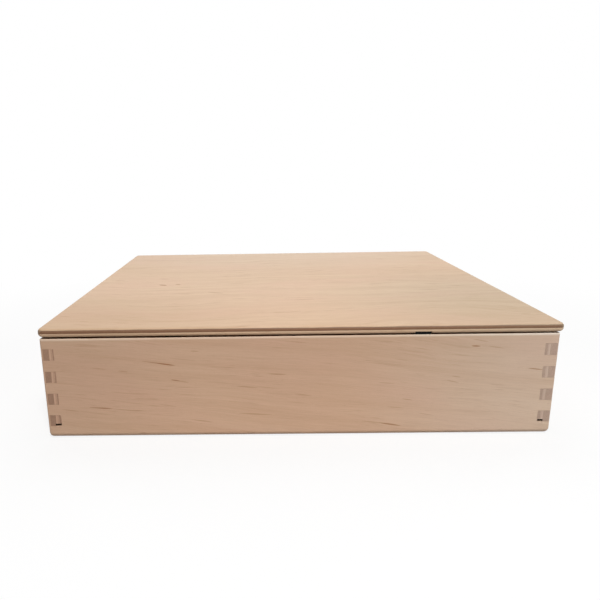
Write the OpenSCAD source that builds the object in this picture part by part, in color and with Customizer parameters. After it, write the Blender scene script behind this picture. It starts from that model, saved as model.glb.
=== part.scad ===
// Toy storage box: a low, square plywood box with finger-jointed corners,
// a plywood bottom let into grooves and a flat lid on two butt hinges.
// Millimetres, +Z up, front towards -Y. The origin is the middle of the
// box's width and of the whole depth, on the surface that it stands on.

/* [Box] */
// Width of the box over its side walls
box_w = 350; // [220:5:600]
// Depth of the box over its front and back walls
box_d = 350; // [160:5:600]
// Height of the four walls
wall_h = 72.35; // [45:0.05:200]
// Thickness of the wall boards
wall_t = 9; // [8:0.5:15]
// Radius of the upright outer edges
upright_edge_r = 1.2; // [0.4:0.1:3]
// Radius of the lower outer edges
lower_edge_r = 3.5; // [1:0.5:4]
// Radius of the upper edges of the walls
rim_edge_r = 0.5; // [0.3:0.1:1.2]

/* [Corner joints] */
// Height of one finger
finger_h = 8.05; // [5:0.05:15]
// How far the row of fingers sits above the middle of a wall
finger_lift = 0.8; // [0:0.1:2]

/* [Bottom] */
// Thickness of the bottom panel
bottom_t = 3.8; // [3:0.1:6]
// Height of the groove's lower side
groove_z = 6.4; // [4:0.1:10]
// How deep the groove goes into a wall
groove_depth = 3.8; // [2:0.1:5]
// Room left round the bottom panel in its groove
bottom_slack = 0.2; // [0.1:0.05:0.5]

/* [Lid] */
// Thickness of the lid board
lid_t = 6; // [6:0.1:12]
// How far the lid stands out past the front and the sides
lid_overhang = 1.7; // [0:0.1:8]
// How far the lid lies to the right of the box's middle
lid_shift = 0.7; // [-1:0.1:1]
// Radius of the lid's corners in plan
lid_corner_r = 4.5; // [3:0.5:30]
// Radius of the lid's upper edge
lid_top_edge_r = 2.5; // [0.5:0.1:2.8]
// Radius of the lid's lower edge
lid_under_edge_r = 2.5; // [0.3:0.1:3]

/* [Hinges] */
// Length of a hinge
hinge_len = 40; // [24:1:60]
// Distance from the side of the box to a hinge
hinge_inset = 50; // [20:1:80]
// Thickness of the hinge metal
leaf_t = 0.8; // [0.6:0.1:1.5]
// How deep a leaf is let into the wood
leaf_recess = 0.25; // [0.1:0.05:0.5]
// Room between the two leaves of a closed hinge
leaf_gap = 0.25; // [0.05:0.05:1]
// Bare wood between a leaf and the inside of the box
leaf_margin = 1; // [0.5:0.5:3]
// Number of knuckles in a hinge
knuckle_count = 5; // [3:2:7]
// Room between two knuckles
knuckle_play = 0.2; // [0.1:0.05:0.5]
// Diameter of a hinge pin
pin_d = 1.6; // [1.2:0.1:3]
// Radial play of the pin in its knuckles
pin_play = 0.05; // [0.02:0.01:0.1]
// Room between the knuckles and the back of the box
barrel_gap = 0.3; // [0.3:0.1:1]

/* [Screws] */
// Screws in one leaf
screw_count = 3; // [2:1:4]
// Distance from a leaf's end to its first screw
screw_end = 6; // [4:0.5:9]
// Diameter of a screw's shank
screw_d = 2; // [1.6:0.1:2.4]
// Diameter of a screw's head
screw_head_d = 3.7; // [3.2:0.1:4.2]
// How far a head lies below the face of its leaf
screw_sink = 0.05; // [0:0.01:0.1]
// Radial room round a screw
screw_room = 0.05; // [0.02:0.01:0.1]
// Length of a screw in the back wall
box_screw_len = 12; // [8:1:20]
// Wood left above the end of a screw in the lid
lid_screw_cover = 1.5; // [1:0.1:2.5]
// Width of the slots of a cross recess
recess_w = 0.45; // [0.3:0.05:0.6]
// Length of the slots of a cross recess
recess_len = 2.2; // [1.4:0.1:2.6]
// Depth of a cross recess
recess_depth = 0.5; // [0.2:0.1:0.6]

/* [Bumpers] */
// Width of a bumper
bumper_w = 11; // [6:0.5:20]
// Distance from the middle of the box to a bumper's middle
bumper_x = 84; // [20:1:90]
// How deep a bumper is let into the lid
bumper_recess = 1.3; // [0.2:0.1:1.5]
// Room round a bumper in its pocket
bumper_play = 0.1; // [0.05:0.05:0.3]
// Distance from the front of the box to the right bumper
right_bumper_setback = 0.3; // [0:0.1:3]
// Distance from the front of the box to the left bumper
left_bumper_setback = 2.5; // [1:0.1:4]
// Bare rim between a bumper and the inside of the box
bumper_margin = 1; // [0.5:0.5:3]

/* [Hidden] */

$fn = 48;
past = 1; // how far a cutting shape runs past the face it cuts

board_colour = [0.80, 0.69, 0.57];
lid_colour = [0.84, 0.74, 0.62];
metal_colour = [0.72, 0.72, 0.70];
rubber_colour = [0.07, 0.07, 0.07];

// the closed hinge: it sets the gap under the lid and the whole depth
pin_r = pin_d / 2;
bore_r = pin_r + pin_play;
barrel_r = bore_r + leaf_t;
lid_gap = 2 * (leaf_t - leaf_recess) + leaf_gap;
overall_d = lid_overhang + box_d + barrel_gap + 2 * barrel_r;

// places across and along the box
right_x = box_w / 2;
front_y = lid_overhang - overall_d / 2;
back_y = front_y + box_d;
lid_z = wall_h + lid_gap;
pin_y = back_y + barrel_gap + barrel_r;
pin_z = wall_h + lid_gap / 2;

// fingers: an odd number of equal ones between the lowest and the top one
inner_fingers = 2 * round((wall_h / finger_h - 3) / 2) + 1;
low_finger_h = (wall_h - inner_fingers * finger_h) / 2 + finger_lift;

// hinge leaf on the wood, measured from the back of the box
leaf_seat_w = wall_t - leaf_margin;
leaf_front_y = back_y - leaf_seat_w;
screw_y = back_y - leaf_seat_w / 2;
box_leaf_z = wall_h - leaf_recess;
lid_leaf_z = lid_z + leaf_recess - leaf_t;
knuckle_pitch = hinge_len / knuckle_count;
knuckle_room = barrel_r + barrel_gap;
hinge_x = right_x - hinge_inset - hinge_len / 2;
lid_screw_len = lid_t - lid_screw_cover + leaf_t - leaf_recess;
screw_pitch = (hinge_len - 2 * screw_end) / (screw_count - 1);
screw_head_h = leaf_t - screw_sink;
screw_tip_h = screw_d / 2;
pin_chamfer = pin_d / 8;

// Square bar with a quarter-round cut out of it, along +Z from the origin.
// Taken away along an upright edge at the origin, it rounds that edge.
module edge_round(r, length) {
    difference() {
        translate([-past, -past, 0])
            cube([r + past, r + past, length]);
        translate([r, r, -past])
            cylinder(r = r, h = length + 2 * past);
    }
}

// Rounding of the outer edges, shared by all the boards that meet there
module outer_edges() {
    for (side = [-1, 1], end = [0, 1])
        translate([side * right_x, end ? back_y : front_y, -past])
            mirror([side > 0 ? 1 : 0, 0, 0])
                mirror([0, end, 0])
                    edge_round(upright_edge_r, wall_h + 2 * past);
    for (end = [0, 1]) {
        translate([-right_x - past, end ? back_y : front_y, 0])
            mirror([0, end, 0])
                rotate([90, 0, 90])
                    edge_round(lower_edge_r, box_w + 2 * past);
        translate([-right_x - past, end ? back_y : front_y, wall_h])
            mirror([0, end, 0])
                mirror([0, 0, 1])
                    rotate([90, 0, 90])
                        edge_round(rim_edge_r, box_w + 2 * past);
    }
    for (side = [0, 1]) {
        translate([side ? right_x : -right_x, back_y + past, 0])
            mirror([side, 0, 0])
                rotate([90, 0, 0])
                    edge_round(lower_edge_r, box_d + 2 * past);
        translate([side ? right_x : -right_x, back_y + past, wall_h])
            mirror([side, 0, 0])
                mirror([0, 0, 1])
                    rotate([90, 0, 0])
                        edge_round(rim_edge_r, box_d + 2 * past);
    }
}

// One square of each corner joint, at all four corners.
// first is 0 for the lowest finger and 1 for the one above it.
module corner_blocks(first) {
    for (k = [first : 2 : inner_fingers + 1]) {
        low = k == 0 ? -past : low_finger_h + (k - 1) * finger_h;
        high = k == inner_fingers + 1 ? wall_h + past : low_finger_h + k * finger_h;
        for (side = [0, 1], end = [0, 1])
            translate([side ? right_x : -right_x, end ? back_y : front_y, low])
                mirror([side, 0, 0])
                    mirror([0, end, 0])
                        translate([-past, -past, 0])
                            cube([wall_t + past, wall_t + past, high - low]);
    }
}

// Front board, with its groove. The back board is the same, turned round.
module end_board() {
    difference() {
        translate([-right_x, front_y, 0])
            cube([box_w, wall_t, wall_h]);
        corner_blocks(1);
        outer_edges();
        translate([-right_x - past, front_y + wall_t - groove_depth, groove_z])
            cube([box_w + 2 * past, groove_depth + past, bottom_t + bottom_slack]);
        translate([-right_x + wall_t, front_y + wall_t, wall_h])
            mirror([0, 1, 0])
                mirror([0, 0, 1])
                    rotate([90, 0, 90])
                        edge_round(rim_edge_r, box_w - 2 * wall_t);
    }
}

module front_wall() {
    color(board_colour)
        end_board();
}

module back_wall() {
    color(board_colour)
        difference() {
            translate([0, front_y + back_y, 0])
                mirror([0, 1, 0])
                    end_board();
            for (side = [-1, 1]) {
                translate([side * hinge_x - hinge_len / 2, leaf_front_y, box_leaf_z])
                    cube([hinge_len, leaf_seat_w + past, leaf_t + past]);
                screw_places(side)
                    translate([0, 0, box_leaf_z + leaf_t - box_screw_len])
                        cylinder(d = screw_d + 2 * screw_room, h = box_screw_len);
            }
        }
}

// Left board. The right board is its mirror image.
module side_board() {
    difference() {
        translate([-right_x, front_y, 0])
            cube([wall_t, box_d, wall_h]);
        corner_blocks(0);
        outer_edges();
        translate([-right_x + wall_t - groove_depth, front_y - past, groove_z])
            cube([groove_depth + past, box_d + 2 * past, bottom_t + bottom_slack]);
        translate([-right_x + wall_t, back_y - wall_t, wall_h])
            mirror([1, 0, 0])
                mirror([0, 0, 1])
                    rotate([90, 0, 0])
                        edge_round(rim_edge_r, box_d - 2 * wall_t);
    }
}

module left_wall() {
    color(board_colour)
        side_board();
}

module right_wall() {
    color(board_colour)
        mirror([1, 0, 0])
            side_board();
}

module bottom_panel() {
    edge = wall_t - groove_depth + bottom_slack;
    color(board_colour)
        translate([-right_x + edge, front_y + edge, groove_z])
            cube([box_w - 2 * edge, box_d - 2 * edge, bottom_t]);
}

// Outline of the lid board's edge, for a board this wide
module lid_section(width) {
    difference() {
        square([width, lid_t]);
        for (side = [0, 1])
            translate([side * width, 0])
                mirror([side, 0]) {
                    corner_waste(lid_under_edge_r);
                    translate([0, lid_t])
                        mirror([0, 1])
                            corner_waste(lid_top_edge_r);
                }
    }
}

// What a quarter-round takes off a square corner at the origin
module corner_waste(r) {
    difference() {
        translate([-past, -past])
            square(r + past);
        translate([r, r])
            circle(r);
    }
}

// Lid board with round corners and rounded edges, its corner at the origin
module lid_board(width, depth) {
    translate([lid_corner_r, 0, 0])
        rotate([90, 0, 90])
            linear_extrude(width - 2 * lid_corner_r)
                lid_section(depth);
    translate([0, depth - lid_corner_r, 0])
        rotate([90, 0, 0])
            linear_extrude(depth - 2 * lid_corner_r)
                lid_section(width);
    for (x = [lid_corner_r, width - lid_corner_r], y = [lid_corner_r, depth - lid_corner_r])
        translate([x, y, 0])
            rotate_extrude()
                intersection() {
                    translate([-lid_corner_r, 0])
                        lid_section(2 * lid_corner_r);
                    square([lid_corner_r, lid_t]);
                }
}

module lid_panel() {
    lid_w = box_w + 2 * lid_overhang;
    lid_d = box_d + lid_overhang;
    color(lid_colour)
        difference() {
            translate([lid_shift - lid_w / 2, front_y - lid_overhang, lid_z])
                lid_board(lid_w, lid_d);
            for (side = [-1, 1]) {
                translate([side * hinge_x - hinge_len / 2, leaf_front_y, lid_z - past])
                    cube([hinge_len, leaf_seat_w + past, leaf_recess + past]);
                screw_places(side)
                    translate([0, 0, lid_leaf_z])
                        cylinder(d = screw_d + 2 * screw_room, h = lid_screw_len);
            }
            bumper_pocket(-1, left_bumper_setback - bumper_play);
            bumper_pocket(1, -lid_overhang - past);
        }
}

// Pocket for a bumper, from start, counted from the front of the box
module bumper_pocket(side, start) {
    width = bumper_w + 2 * bumper_play;
    depth = wall_t - bumper_margin + bumper_play - start;
    translate([side * bumper_x - width / 2, front_y + start, lid_z - past])
        cube([width, depth, bumper_recess + past]);
}

module bumper(side, setback) {
    color(rubber_colour)
        translate([side * bumper_x - bumper_w / 2, front_y + setback, wall_h])
            cube([bumper_w, wall_t - bumper_margin - setback, lid_gap + bumper_recess]);
}

// Puts its children at each screw of one hinge
module screw_places(side) {
    for (k = [0 : screw_count - 1])
        translate([side * hinge_x - hinge_len / 2 + screw_end + k * screw_pitch, screw_y, 0])
            children();
}

// Countersunk wood screw, head up, the top of its head at the origin
module screw(length) {
    shank_h = length - screw_head_h - screw_tip_h;
    difference() {
        union() {
            translate([0, 0, -screw_head_h])
                cylinder(d1 = screw_d, d2 = screw_head_d, h = screw_head_h);
            translate([0, 0, -screw_head_h - shank_h])
                cylinder(d = screw_d, h = shank_h);
            translate([0, 0, -screw_head_h - shank_h - screw_tip_h])
                cylinder(d1 = screw_d / 4, d2 = screw_d, h = screw_tip_h);
        }
        for (turn = [0, 90])
            rotate([0, 0, turn])
                translate([-recess_len / 2, -recess_w / 2, -recess_depth])
                    cube([recess_len, recess_w, recess_depth + past]);
    }
}

module box_screws(side) {
    color(metal_colour)
        screw_places(side)
            translate([0, 0, box_leaf_z + leaf_t - screw_sink])
                screw(box_screw_len);
}

module lid_screws(side) {
    color(metal_colour)
        screw_places(side)
            translate([0, 0, lid_leaf_z + screw_sink])
                mirror([0, 0, 1])
                    screw(lid_screw_len);
}

// Countersunk hole in a leaf, its wide mouth up at the origin
module leaf_hole() {
    room = 2 * screw_room;
    translate([0, 0, -leaf_t])
        cylinder(d1 = screw_d + room, d2 = screw_head_d + room, h = leaf_t);
    translate([0, 0, -leaf_t - past])
        cylinder(d = screw_d + room, h = 2 * past);
    cylinder(d = screw_head_d + room, h = past);
}

// One leaf with its knuckles: first is 0 where it has the end ones, else 1
module leaf(side, low, first) {
    start_x = side * hinge_x - hinge_len / 2;
    upward = first == 0;
    difference() {
        union() {
            translate([start_x, leaf_front_y, low])
                cube([hinge_len, pin_y - leaf_front_y, leaf_t]);
            for (k = [first : 2 : knuckle_count - 1])
                translate([start_x + k * knuckle_pitch, pin_y, pin_z])
                    rotate([0, 90, 0])
                        cylinder(r = barrel_r, h = knuckle_pitch);
        }
        for (k = [1 - first : 2 : knuckle_count - 1]) {
            before = k == 0 ? past : knuckle_play / 2;
            after = k == knuckle_count - 1 ? past : knuckle_play / 2;
            translate([start_x + k * knuckle_pitch - before, pin_y - knuckle_room, pin_z - knuckle_room])
                cube([knuckle_pitch + before + after, 2 * knuckle_room, 2 * knuckle_room]);
        }
        translate([start_x - past, pin_y, pin_z])
            rotate([0, 90, 0])
                cylinder(r = bore_r, h = hinge_len + 2 * past);
        screw_places(side)
            translate([0, 0, upward ? low + leaf_t : low])
                mirror([0, 0, upward ? 0 : 1])
                    leaf_hole();
    }
}

module box_leaf(side) {
    color(metal_colour)
        leaf(side, box_leaf_z, 0);
}

module lid_leaf(side) {
    color(metal_colour)
        leaf(side, lid_leaf_z, 1);
}

module hinge_pin(side) {
    color(metal_colour)
        translate([side * hinge_x - hinge_len / 2, pin_y, pin_z])
            rotate([0, 90, 0]) {
                cylinder(r1 = pin_r - pin_chamfer, r2 = pin_r, h = pin_chamfer);
                translate([0, 0, pin_chamfer])
                    cylinder(r = pin_r, h = hinge_len - 2 * pin_chamfer);
                translate([0, 0, hinge_len - pin_chamfer])
                    cylinder(r1 = pin_r, r2 = pin_r - pin_chamfer, h = pin_chamfer);
            }
}

front_wall();
back_wall();
left_wall();
right_wall();
bottom_panel();
lid_panel();
box_leaf(-1);  // left_hinge_box_leaf
lid_leaf(-1);  // left_hinge_lid_leaf
hinge_pin(-1);  // left_hinge_pin
box_screws(-1);  // left_hinge_box_screws
lid_screws(-1);  // left_hinge_lid_screws
box_leaf(1);  // right_hinge_box_leaf
lid_leaf(1);  // right_hinge_lid_leaf
hinge_pin(1);  // right_hinge_pin
box_screws(1);  // right_hinge_box_screws
lid_screws(1);  // right_hinge_lid_screws
bumper(-1, left_bumper_setback);  // left_bumper
bumper(1, right_bumper_setback);  // right_bumper
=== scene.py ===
import bpy
import math
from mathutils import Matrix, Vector


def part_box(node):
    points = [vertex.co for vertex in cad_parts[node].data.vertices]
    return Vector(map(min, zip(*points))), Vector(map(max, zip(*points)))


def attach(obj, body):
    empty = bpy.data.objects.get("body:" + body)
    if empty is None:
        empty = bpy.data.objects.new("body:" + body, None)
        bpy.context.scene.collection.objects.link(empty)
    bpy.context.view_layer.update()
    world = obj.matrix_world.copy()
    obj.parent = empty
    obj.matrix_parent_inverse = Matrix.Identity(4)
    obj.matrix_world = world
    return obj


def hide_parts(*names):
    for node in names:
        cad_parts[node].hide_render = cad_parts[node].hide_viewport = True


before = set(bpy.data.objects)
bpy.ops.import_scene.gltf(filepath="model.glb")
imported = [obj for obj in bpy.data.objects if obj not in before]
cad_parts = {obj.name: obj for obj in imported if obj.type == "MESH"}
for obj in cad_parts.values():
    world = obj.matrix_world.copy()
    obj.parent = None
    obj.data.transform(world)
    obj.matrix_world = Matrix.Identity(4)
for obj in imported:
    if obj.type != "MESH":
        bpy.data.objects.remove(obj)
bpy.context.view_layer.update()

mm = 0.001  # pieces are modelled in millimetres and made metres when they are done
past = 5.0  # how far a cutter runs past the wood it cuts
tolerance = 0.01
print("frame loaded:", len(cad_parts), "nodes")


# picking, adding and cutting, as by hand

def pick(piece):
    if bpy.context.mode != "OBJECT":
        bpy.ops.object.mode_set(mode="OBJECT")
    bpy.ops.object.select_all(action="DESELECT")
    piece.select_set(True)
    bpy.context.view_layer.objects.active = piece


def placeInMesh(piece):
    pick(piece)
    bpy.ops.object.transform_apply(location=True, rotation=True, scale=True)


def justAdded(name):  # names it, and puts its place and turn into its mesh
    piece = bpy.context.active_object
    piece.name = name
    placeInMesh(piece)
    return piece


def addBlock(name, low, high):
    bpy.ops.object.select_all(action="DESELECT")
    size = [b - a for a, b in zip(low, high)]
    middle = [(a + b) / 2 for a, b in zip(low, high)]
    bpy.ops.mesh.primitive_cube_add(size=1, location=middle, scale=size)
    return justAdded(name)


def addRod(name, start, end, radius, endRadius=None, sides=48):
    start, end = Vector(start), Vector(end)
    axis = end - start
    bpy.ops.object.select_all(action="DESELECT")
    bpy.ops.mesh.primitive_cone_add(
        vertices=sides, radius1=radius, radius2=radius if endRadius is None else endRadius,
        depth=axis.length, location=(start + end) / 2,
        rotation=axis.to_track_quat("Z", "Y").to_euler())
    return justAdded(name)


def modify(piece, kind, **settings):
    pick(piece)
    bpy.ops.object.modifier_add(type=kind)
    modifier = piece.modifiers[-1]
    for name, value in settings.items():
        setattr(modifier, name, value)
    bpy.ops.object.modifier_apply(modifier=modifier.name)


def selectEdges(piece, wanted):  # wanted is given the two ends of each edge
    pick(piece)
    bpy.ops.object.mode_set(mode="EDIT")
    bpy.ops.mesh.select_mode(type="EDGE")
    bpy.ops.mesh.select_all(action="DESELECT")
    bpy.ops.object.mode_set(mode="OBJECT")
    points = piece.data.vertices
    for edge in piece.data.edges:
        a, b = (points[i].co for i in edge.vertices)
        edge.select = wanted(a, b)
    bpy.ops.object.mode_set(mode="EDIT")


def roundEdges(piece, wanted, radius, segments):
    selectEdges(piece, wanted)
    bpy.ops.mesh.bevel(offset=radius, segments=segments, profile=0.5, affect="EDGES")
    bpy.ops.object.mode_set(mode="OBJECT")


def roundTogether(piece, rounds, segments):  # rounds holds (which edges, radius)
    largest = max(radius for wanted, radius in rounds)
    weights = piece.data.attributes.new("bevel_weight_edge", "FLOAT", "EDGE")
    points = piece.data.vertices
    for edge in piece.data.edges:
        a, b = (points[i].co for i in edge.vertices)
        for wanted, radius in rounds:
            if wanted(a, b):
                weights.data[edge.index].value = radius / largest
    modify(piece, "BEVEL", limit_method="WEIGHT", width=largest, segments=segments)


def combine(piece, others, how):
    for other in others:
        modify(piece, "BOOLEAN", operation=how, solver="EXACT", object=other)
        bpy.data.objects.remove(other)


def cut(piece, cutters):
    combine(piece, cutters, "DIFFERENCE")


def soften(piece, width, segments=1, angle=50):
    modify(piece, "BEVEL", limit_method="ANGLE", angle_limit=math.radians(angle),
           width=width, segments=segments)


def sliceAt(piece, point, normal):
    pick(piece)
    bpy.ops.object.mode_set(mode="EDIT")
    bpy.ops.mesh.select_all(action="SELECT")
    bpy.ops.mesh.bisect(plane_co=point, plane_no=normal, use_fill=False)
    bpy.ops.object.mode_set(mode="OBJECT")


def complete(piece, body, stoodFor, material, sharpAngle=40):
    pick(piece)
    piece.scale = (mm, mm, mm)
    placeInMesh(piece)
    bpy.ops.object.shade_smooth_by_angle(angle=math.radians(sharpAngle))
    modify(piece, "WEIGHTED_NORMAL", keep_sharp=True)
    piece.data.materials.clear()
    piece.data.materials.append(material)
    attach(piece, body)
    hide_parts(*stoodFor)
    print("made", piece.name, len(piece.data.polygons), "faces")


def near(value, target):
    return abs(value - target) < tolerance


def bothAt(a, b, axis, value):  # both ends of an edge lie there
    return near(getattr(a, axis), value) and near(getattr(b, axis), value)


def boxOf(node):
    low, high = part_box(node)
    return low / mm, high / mm


# the places that the boards share, from the frame

frontLow, frontHigh = boxOf("front_wall")
backHigh = boxOf("back_wall")[1]
leftX, rightX = frontLow.x, frontHigh.x
frontY, backY = frontLow.y, backHigh.y
wallHigh = frontHigh.z
bottomLow, bottomHigh = boxOf("bottom_panel")
lidLow, lidHigh = boxOf("lid_panel")
pinLow, pinHigh = boxOf("left_hinge_pin")
pinY, pinZ = (pinLow.y + pinHigh.y) / 2, (pinLow.z + pinHigh.z) / 2
pinRadius = (pinHigh.z - pinLow.z) / 2


# nodes of the materials

noiseSpan = (0.3, 0.7)  # most of a noise lies between these values
black = (0, 0, 0, 1)
white = (1, 1, 1, 1)


def startMaterial(name):
    material = bpy.data.materials.new(name)
    material.use_nodes = True
    material.node_tree.nodes.clear()
    return material, material.node_tree


def addNode(tree, kind, inputs, **settings):  # an input is a value or another node's output
    made = tree.nodes.new("ShaderNode" + kind)
    for name, value in settings.items():
        setattr(made, name, value)
    for name, value in inputs.items():
        if isinstance(value, bpy.types.NodeSocket):
            tree.links.new(value, made.inputs[name])
        else:
            made.inputs[name].default_value = value
    return made


def calc(tree, operation, *values, clamp=False):
    return addNode(tree, "Math", dict(enumerate(values)),
                   operation=operation, use_clamp=clamp).outputs[0]


def times(tree, a, b):
    return calc(tree, "MULTIPLY", a, b)


def vectorCalc(tree, operation, *values):
    made = addNode(tree, "VectorMath", dict(enumerate(values)), operation=operation)
    return made.outputs["Value" if operation == "LENGTH" else "Vector"]


def joined(tree, x, y, z):
    return addNode(tree, "CombineXYZ", {"X": x, "Y": y, "Z": z}).outputs[0]


def parted(tree, vector):
    return addNode(tree, "SeparateXYZ", {0: vector}).outputs


def coordinates(tree, which):
    return addNode(tree, "TexCoord", {}).outputs[which]


def inMillimetres(tree):
    return vectorCalc(tree, "MULTIPLY", coordinates(tree, "Object"), (1 / mm, 1 / mm, 1 / mm))


def noise(tree, vector, detail=2.0, roughness=0.5):
    made = addNode(tree, "TexNoise", {
        "Vector": vector, "Scale": 1.0, "Detail": detail, "Roughness": roughness}, noise_dimensions="3D")
    return made.outputs[0]


def fade(tree, value, low, high, atLow=0.0, atHigh=1.0):
    made = addNode(tree, "MapRange", {
        "Value": value, "From Min": low, "From Max": high, "To Min": atLow, "To Max": atHigh},
        interpolation_type="SMOOTHSTEP")
    return made.outputs[0]


# sockets of the mix node go by number: 0 is the share, and each kind of value has its own pair

def blendColour(tree, how, share, a, b):
    made = addNode(tree, "Mix", {0: share, 6: a, 7: b}, data_type="RGBA", blend_type=how)
    return made.outputs[2]


def blendValues(tree, share, a, b):
    return addNode(tree, "Mix", {0: share, 2: a, 3: b}, data_type="FLOAT").outputs[0]


def blendVectors(tree, share, a, b):
    return addNode(tree, "Mix", {0: share, 4: a, 5: b}, data_type="VECTOR").outputs[1]


def steps(tree, value, stops, interpolation="LINEAR"):
    made = addNode(tree, "ValToRGB", {0: value})
    band = made.color_ramp
    band.interpolation = interpolation
    while len(band.elements) > 1:
        band.elements.remove(band.elements[-1])
    band.elements[0].position = stops[0][0]
    band.elements[0].color = stops[0][1]
    for position, colour in stops[1:]:
        band.elements.new(position).color = colour
    return made.outputs[0]


def finishSurface(tree, colour, roughness, height, relief, gloss=0.5, metallic=0.0):
    bump = addNode(tree, "Bump", {"Strength": relief[0], "Distance": relief[1], "Height": height})
    shader = addNode(tree, "BsdfPrincipled", {
        "Base Color": colour, "Roughness": roughness, "Normal": bump.outputs[0],
        "Specular IOR Level": gloss, "Metallic": metallic})
    addNode(tree, "OutputMaterial", {"Surface": shader.outputs[0]})


# birch plywood: every ply is solid wood, with its grain along or across the board

birch = {
    "pale": (0.765, 0.570, 0.415, 1),
    "warm": (0.710, 0.510, 0.358, 1),
    "rosy": (0.755, 0.535, 0.395, 1),
    "streak": (0.370, 0.160, 0.055, 1),
    "endGrain": (0.505, 0.345, 0.245, 1),
    "glue": (0.200, 0.120, 0.075, 1),
    "hidden": (0.006, 0.004, 0.003, 1),   # wood that no light reaches
    "rim": (1.27, 1.50, 1.68, 1),         # painted highlight: how much paler and cooler the outer top edge of a wall is made
    "topShade": (0.60, 0.54, 0.49, 1),        # painted shade: how much darker the top of a wall is made
    "roughness": (0.64, 0.52),            # where the fibre is dark, and where it is pale
    "gloss": 0.3,
    "poreDark": 0.14,
    "endRowDark": 0.8,                    # how strongly rows show in end grain
    "relief": (0.35, 0.00012),            # strength, and height in metres
    "reliefOf": {"fibre": 0.5, "pores": -0.35, "endPores": 0.9, "glue": -0.5},
}
plyBuild = {
    "swayScale": (0.0065, 0.014),  # how fast the grain wanders, per mm along and across the board
    "rippleScale": 0.045,
    "wobble": (0.2, 0.9),          # how far a ply's surface strays, in mm, near the face and deeper
    "wobbleDepths": (1.5, 3.0),
    "shifts": (13.0, 7.0, 31.0),   # mm that keep boards and crossed plies from showing the same grain
    "rippleSeed": 9,
    "glueHalf": 0.05,              # half a glue line, in mm
    "glueShare": 0.75,             # how dark a glue line is on an edge
    "rimHigh": 1.3,                # mm of height over which the painted highlight grows in
    "rimDepths": (0.45, 0.75),     # where the painted highlight ends, in mm from the face
    "topShadeDepths": (0.45, 1.2),     # and where the painted shade on the top starts
    "topShadeFacing": (0.8, 1.0),      # how squarely a surface faces up, from none to all of the painted shade
    "endFacing": (0.70, 0.96),
    "glueFacing": (0.55, 0.95),
}
spots = {
    "facing": (0.5, 0.9),      # marks show on the outer face only,
    "depth": 1.6,              # and are gone this deep in the board
    "edge": (0.3, 1.2),        # a mark fades out between these shares of its half width
    "ends": 1.02,              # its width shrinks from this share in the middle
    "least": 0.02,             # to this one at its pointed ends
    "patchEdge": (0.1, 1.0),   # a patch fades out between these shares of its reach
}

# scale is per mm along the grain, across it and through the board, span the values between which
# a pattern comes in, and share how much of it shows before and after, from none to all of it if not given
birchGrain = {
    "bands": {"scale": (0.0035, 0.10, 0.3), "detail": 4, "rough": 0.6, "span": (0.34, 0.68)},
    "clouds": {"scale": (0.009, 0.020, 0.2), "span": (0.40, 0.72), "share": (0.0, 0.8)},
    "crowding": {"scale": (0.013, 0.040, 0.2), "detail": 1, "span": (0.38, 0.64), "share": (0.25, 1.0)},
    "longStreaks": {"scale": (0.022, 0.46, 0.3), "detail": 3, "rough": 0.55, "span": (0.56, 0.74)},
    "shortStreaks": {"scale": (0.060, 1.05, 0.4), "span": (0.58, 0.76)},
    "spindles": {"scale": (0.034, 0.42, 0.25), "span": (0.05, 0.20), "share": (1.0, 0.0)},
    "fibre": {"scale": (0.045, 1.5, 1.5), "detail": 4, "rough": 0.65,
              "tints": [(0.32, (0.95, 0.94, 0.93, 1)), (0.64, (1.03, 1.03, 1.03, 1))]},
    "pores": {"scale": (0.30, 6.5, 6.5), "detail": 1, "span": (0.60, 0.72)},
    "endPores": {"scale": (0.6, 4.5, 4.5), "rough": 0.7,
                 "tints": [(0.32, (0.80, 0.79, 0.78, 1)), (0.60, (1.08, 1.07, 1.06, 1))]},
    "endRows": {"scale": (0.1, 0.9, 3.0), "detail": 3,
                "tints": [(0.30, (0.86, 0.85, 0.84, 1)), (0.70, (1.12, 1.12, 1.12, 1))]},
}
spindleChance = (0.60, 1.0)  # a fleck's random number has to pass the first, and is dark at the second


def stretched(tree, grain, which, fine=1.0):
    along, across, through = birchGrain[which]["scale"]
    return vectorCalc(tree, "MULTIPLY", grain, (along, across * fine, through))


def pattern(tree, grain, which, fine=1.0):
    look = birchGrain[which]
    return noise(tree, stretched(tree, grain, which, fine), look.get("detail", 2), look.get("rough", 0.5))


def showing(tree, which, value):  # how much of a pattern shows where it has that value
    look = birchGrain[which]
    return fade(tree, value, *look["span"], *look.get("share", (0.0, 1.0)))


def placeOnBoard(tree, board):  # mm along, across and in from the face, and how squarely a surface faces
    spot = parted(tree, inMillimetres(tree))
    facing = parted(tree, vectorCalc(tree, "ABSOLUTE", coordinates(tree, "Normal")))
    along, across, through = ("xyz".index(board[way]) for way in ("along", "across", "through"))
    depth = times(tree, calc(tree, "SUBTRACT", spot[through], board["face"]), board["inward"])
    return {"along": spot[along], "across": spot[across], "depth": depth,
            "endAlong": facing[along], "endAcross": facing[across], "facesOut": facing[through]}


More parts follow.
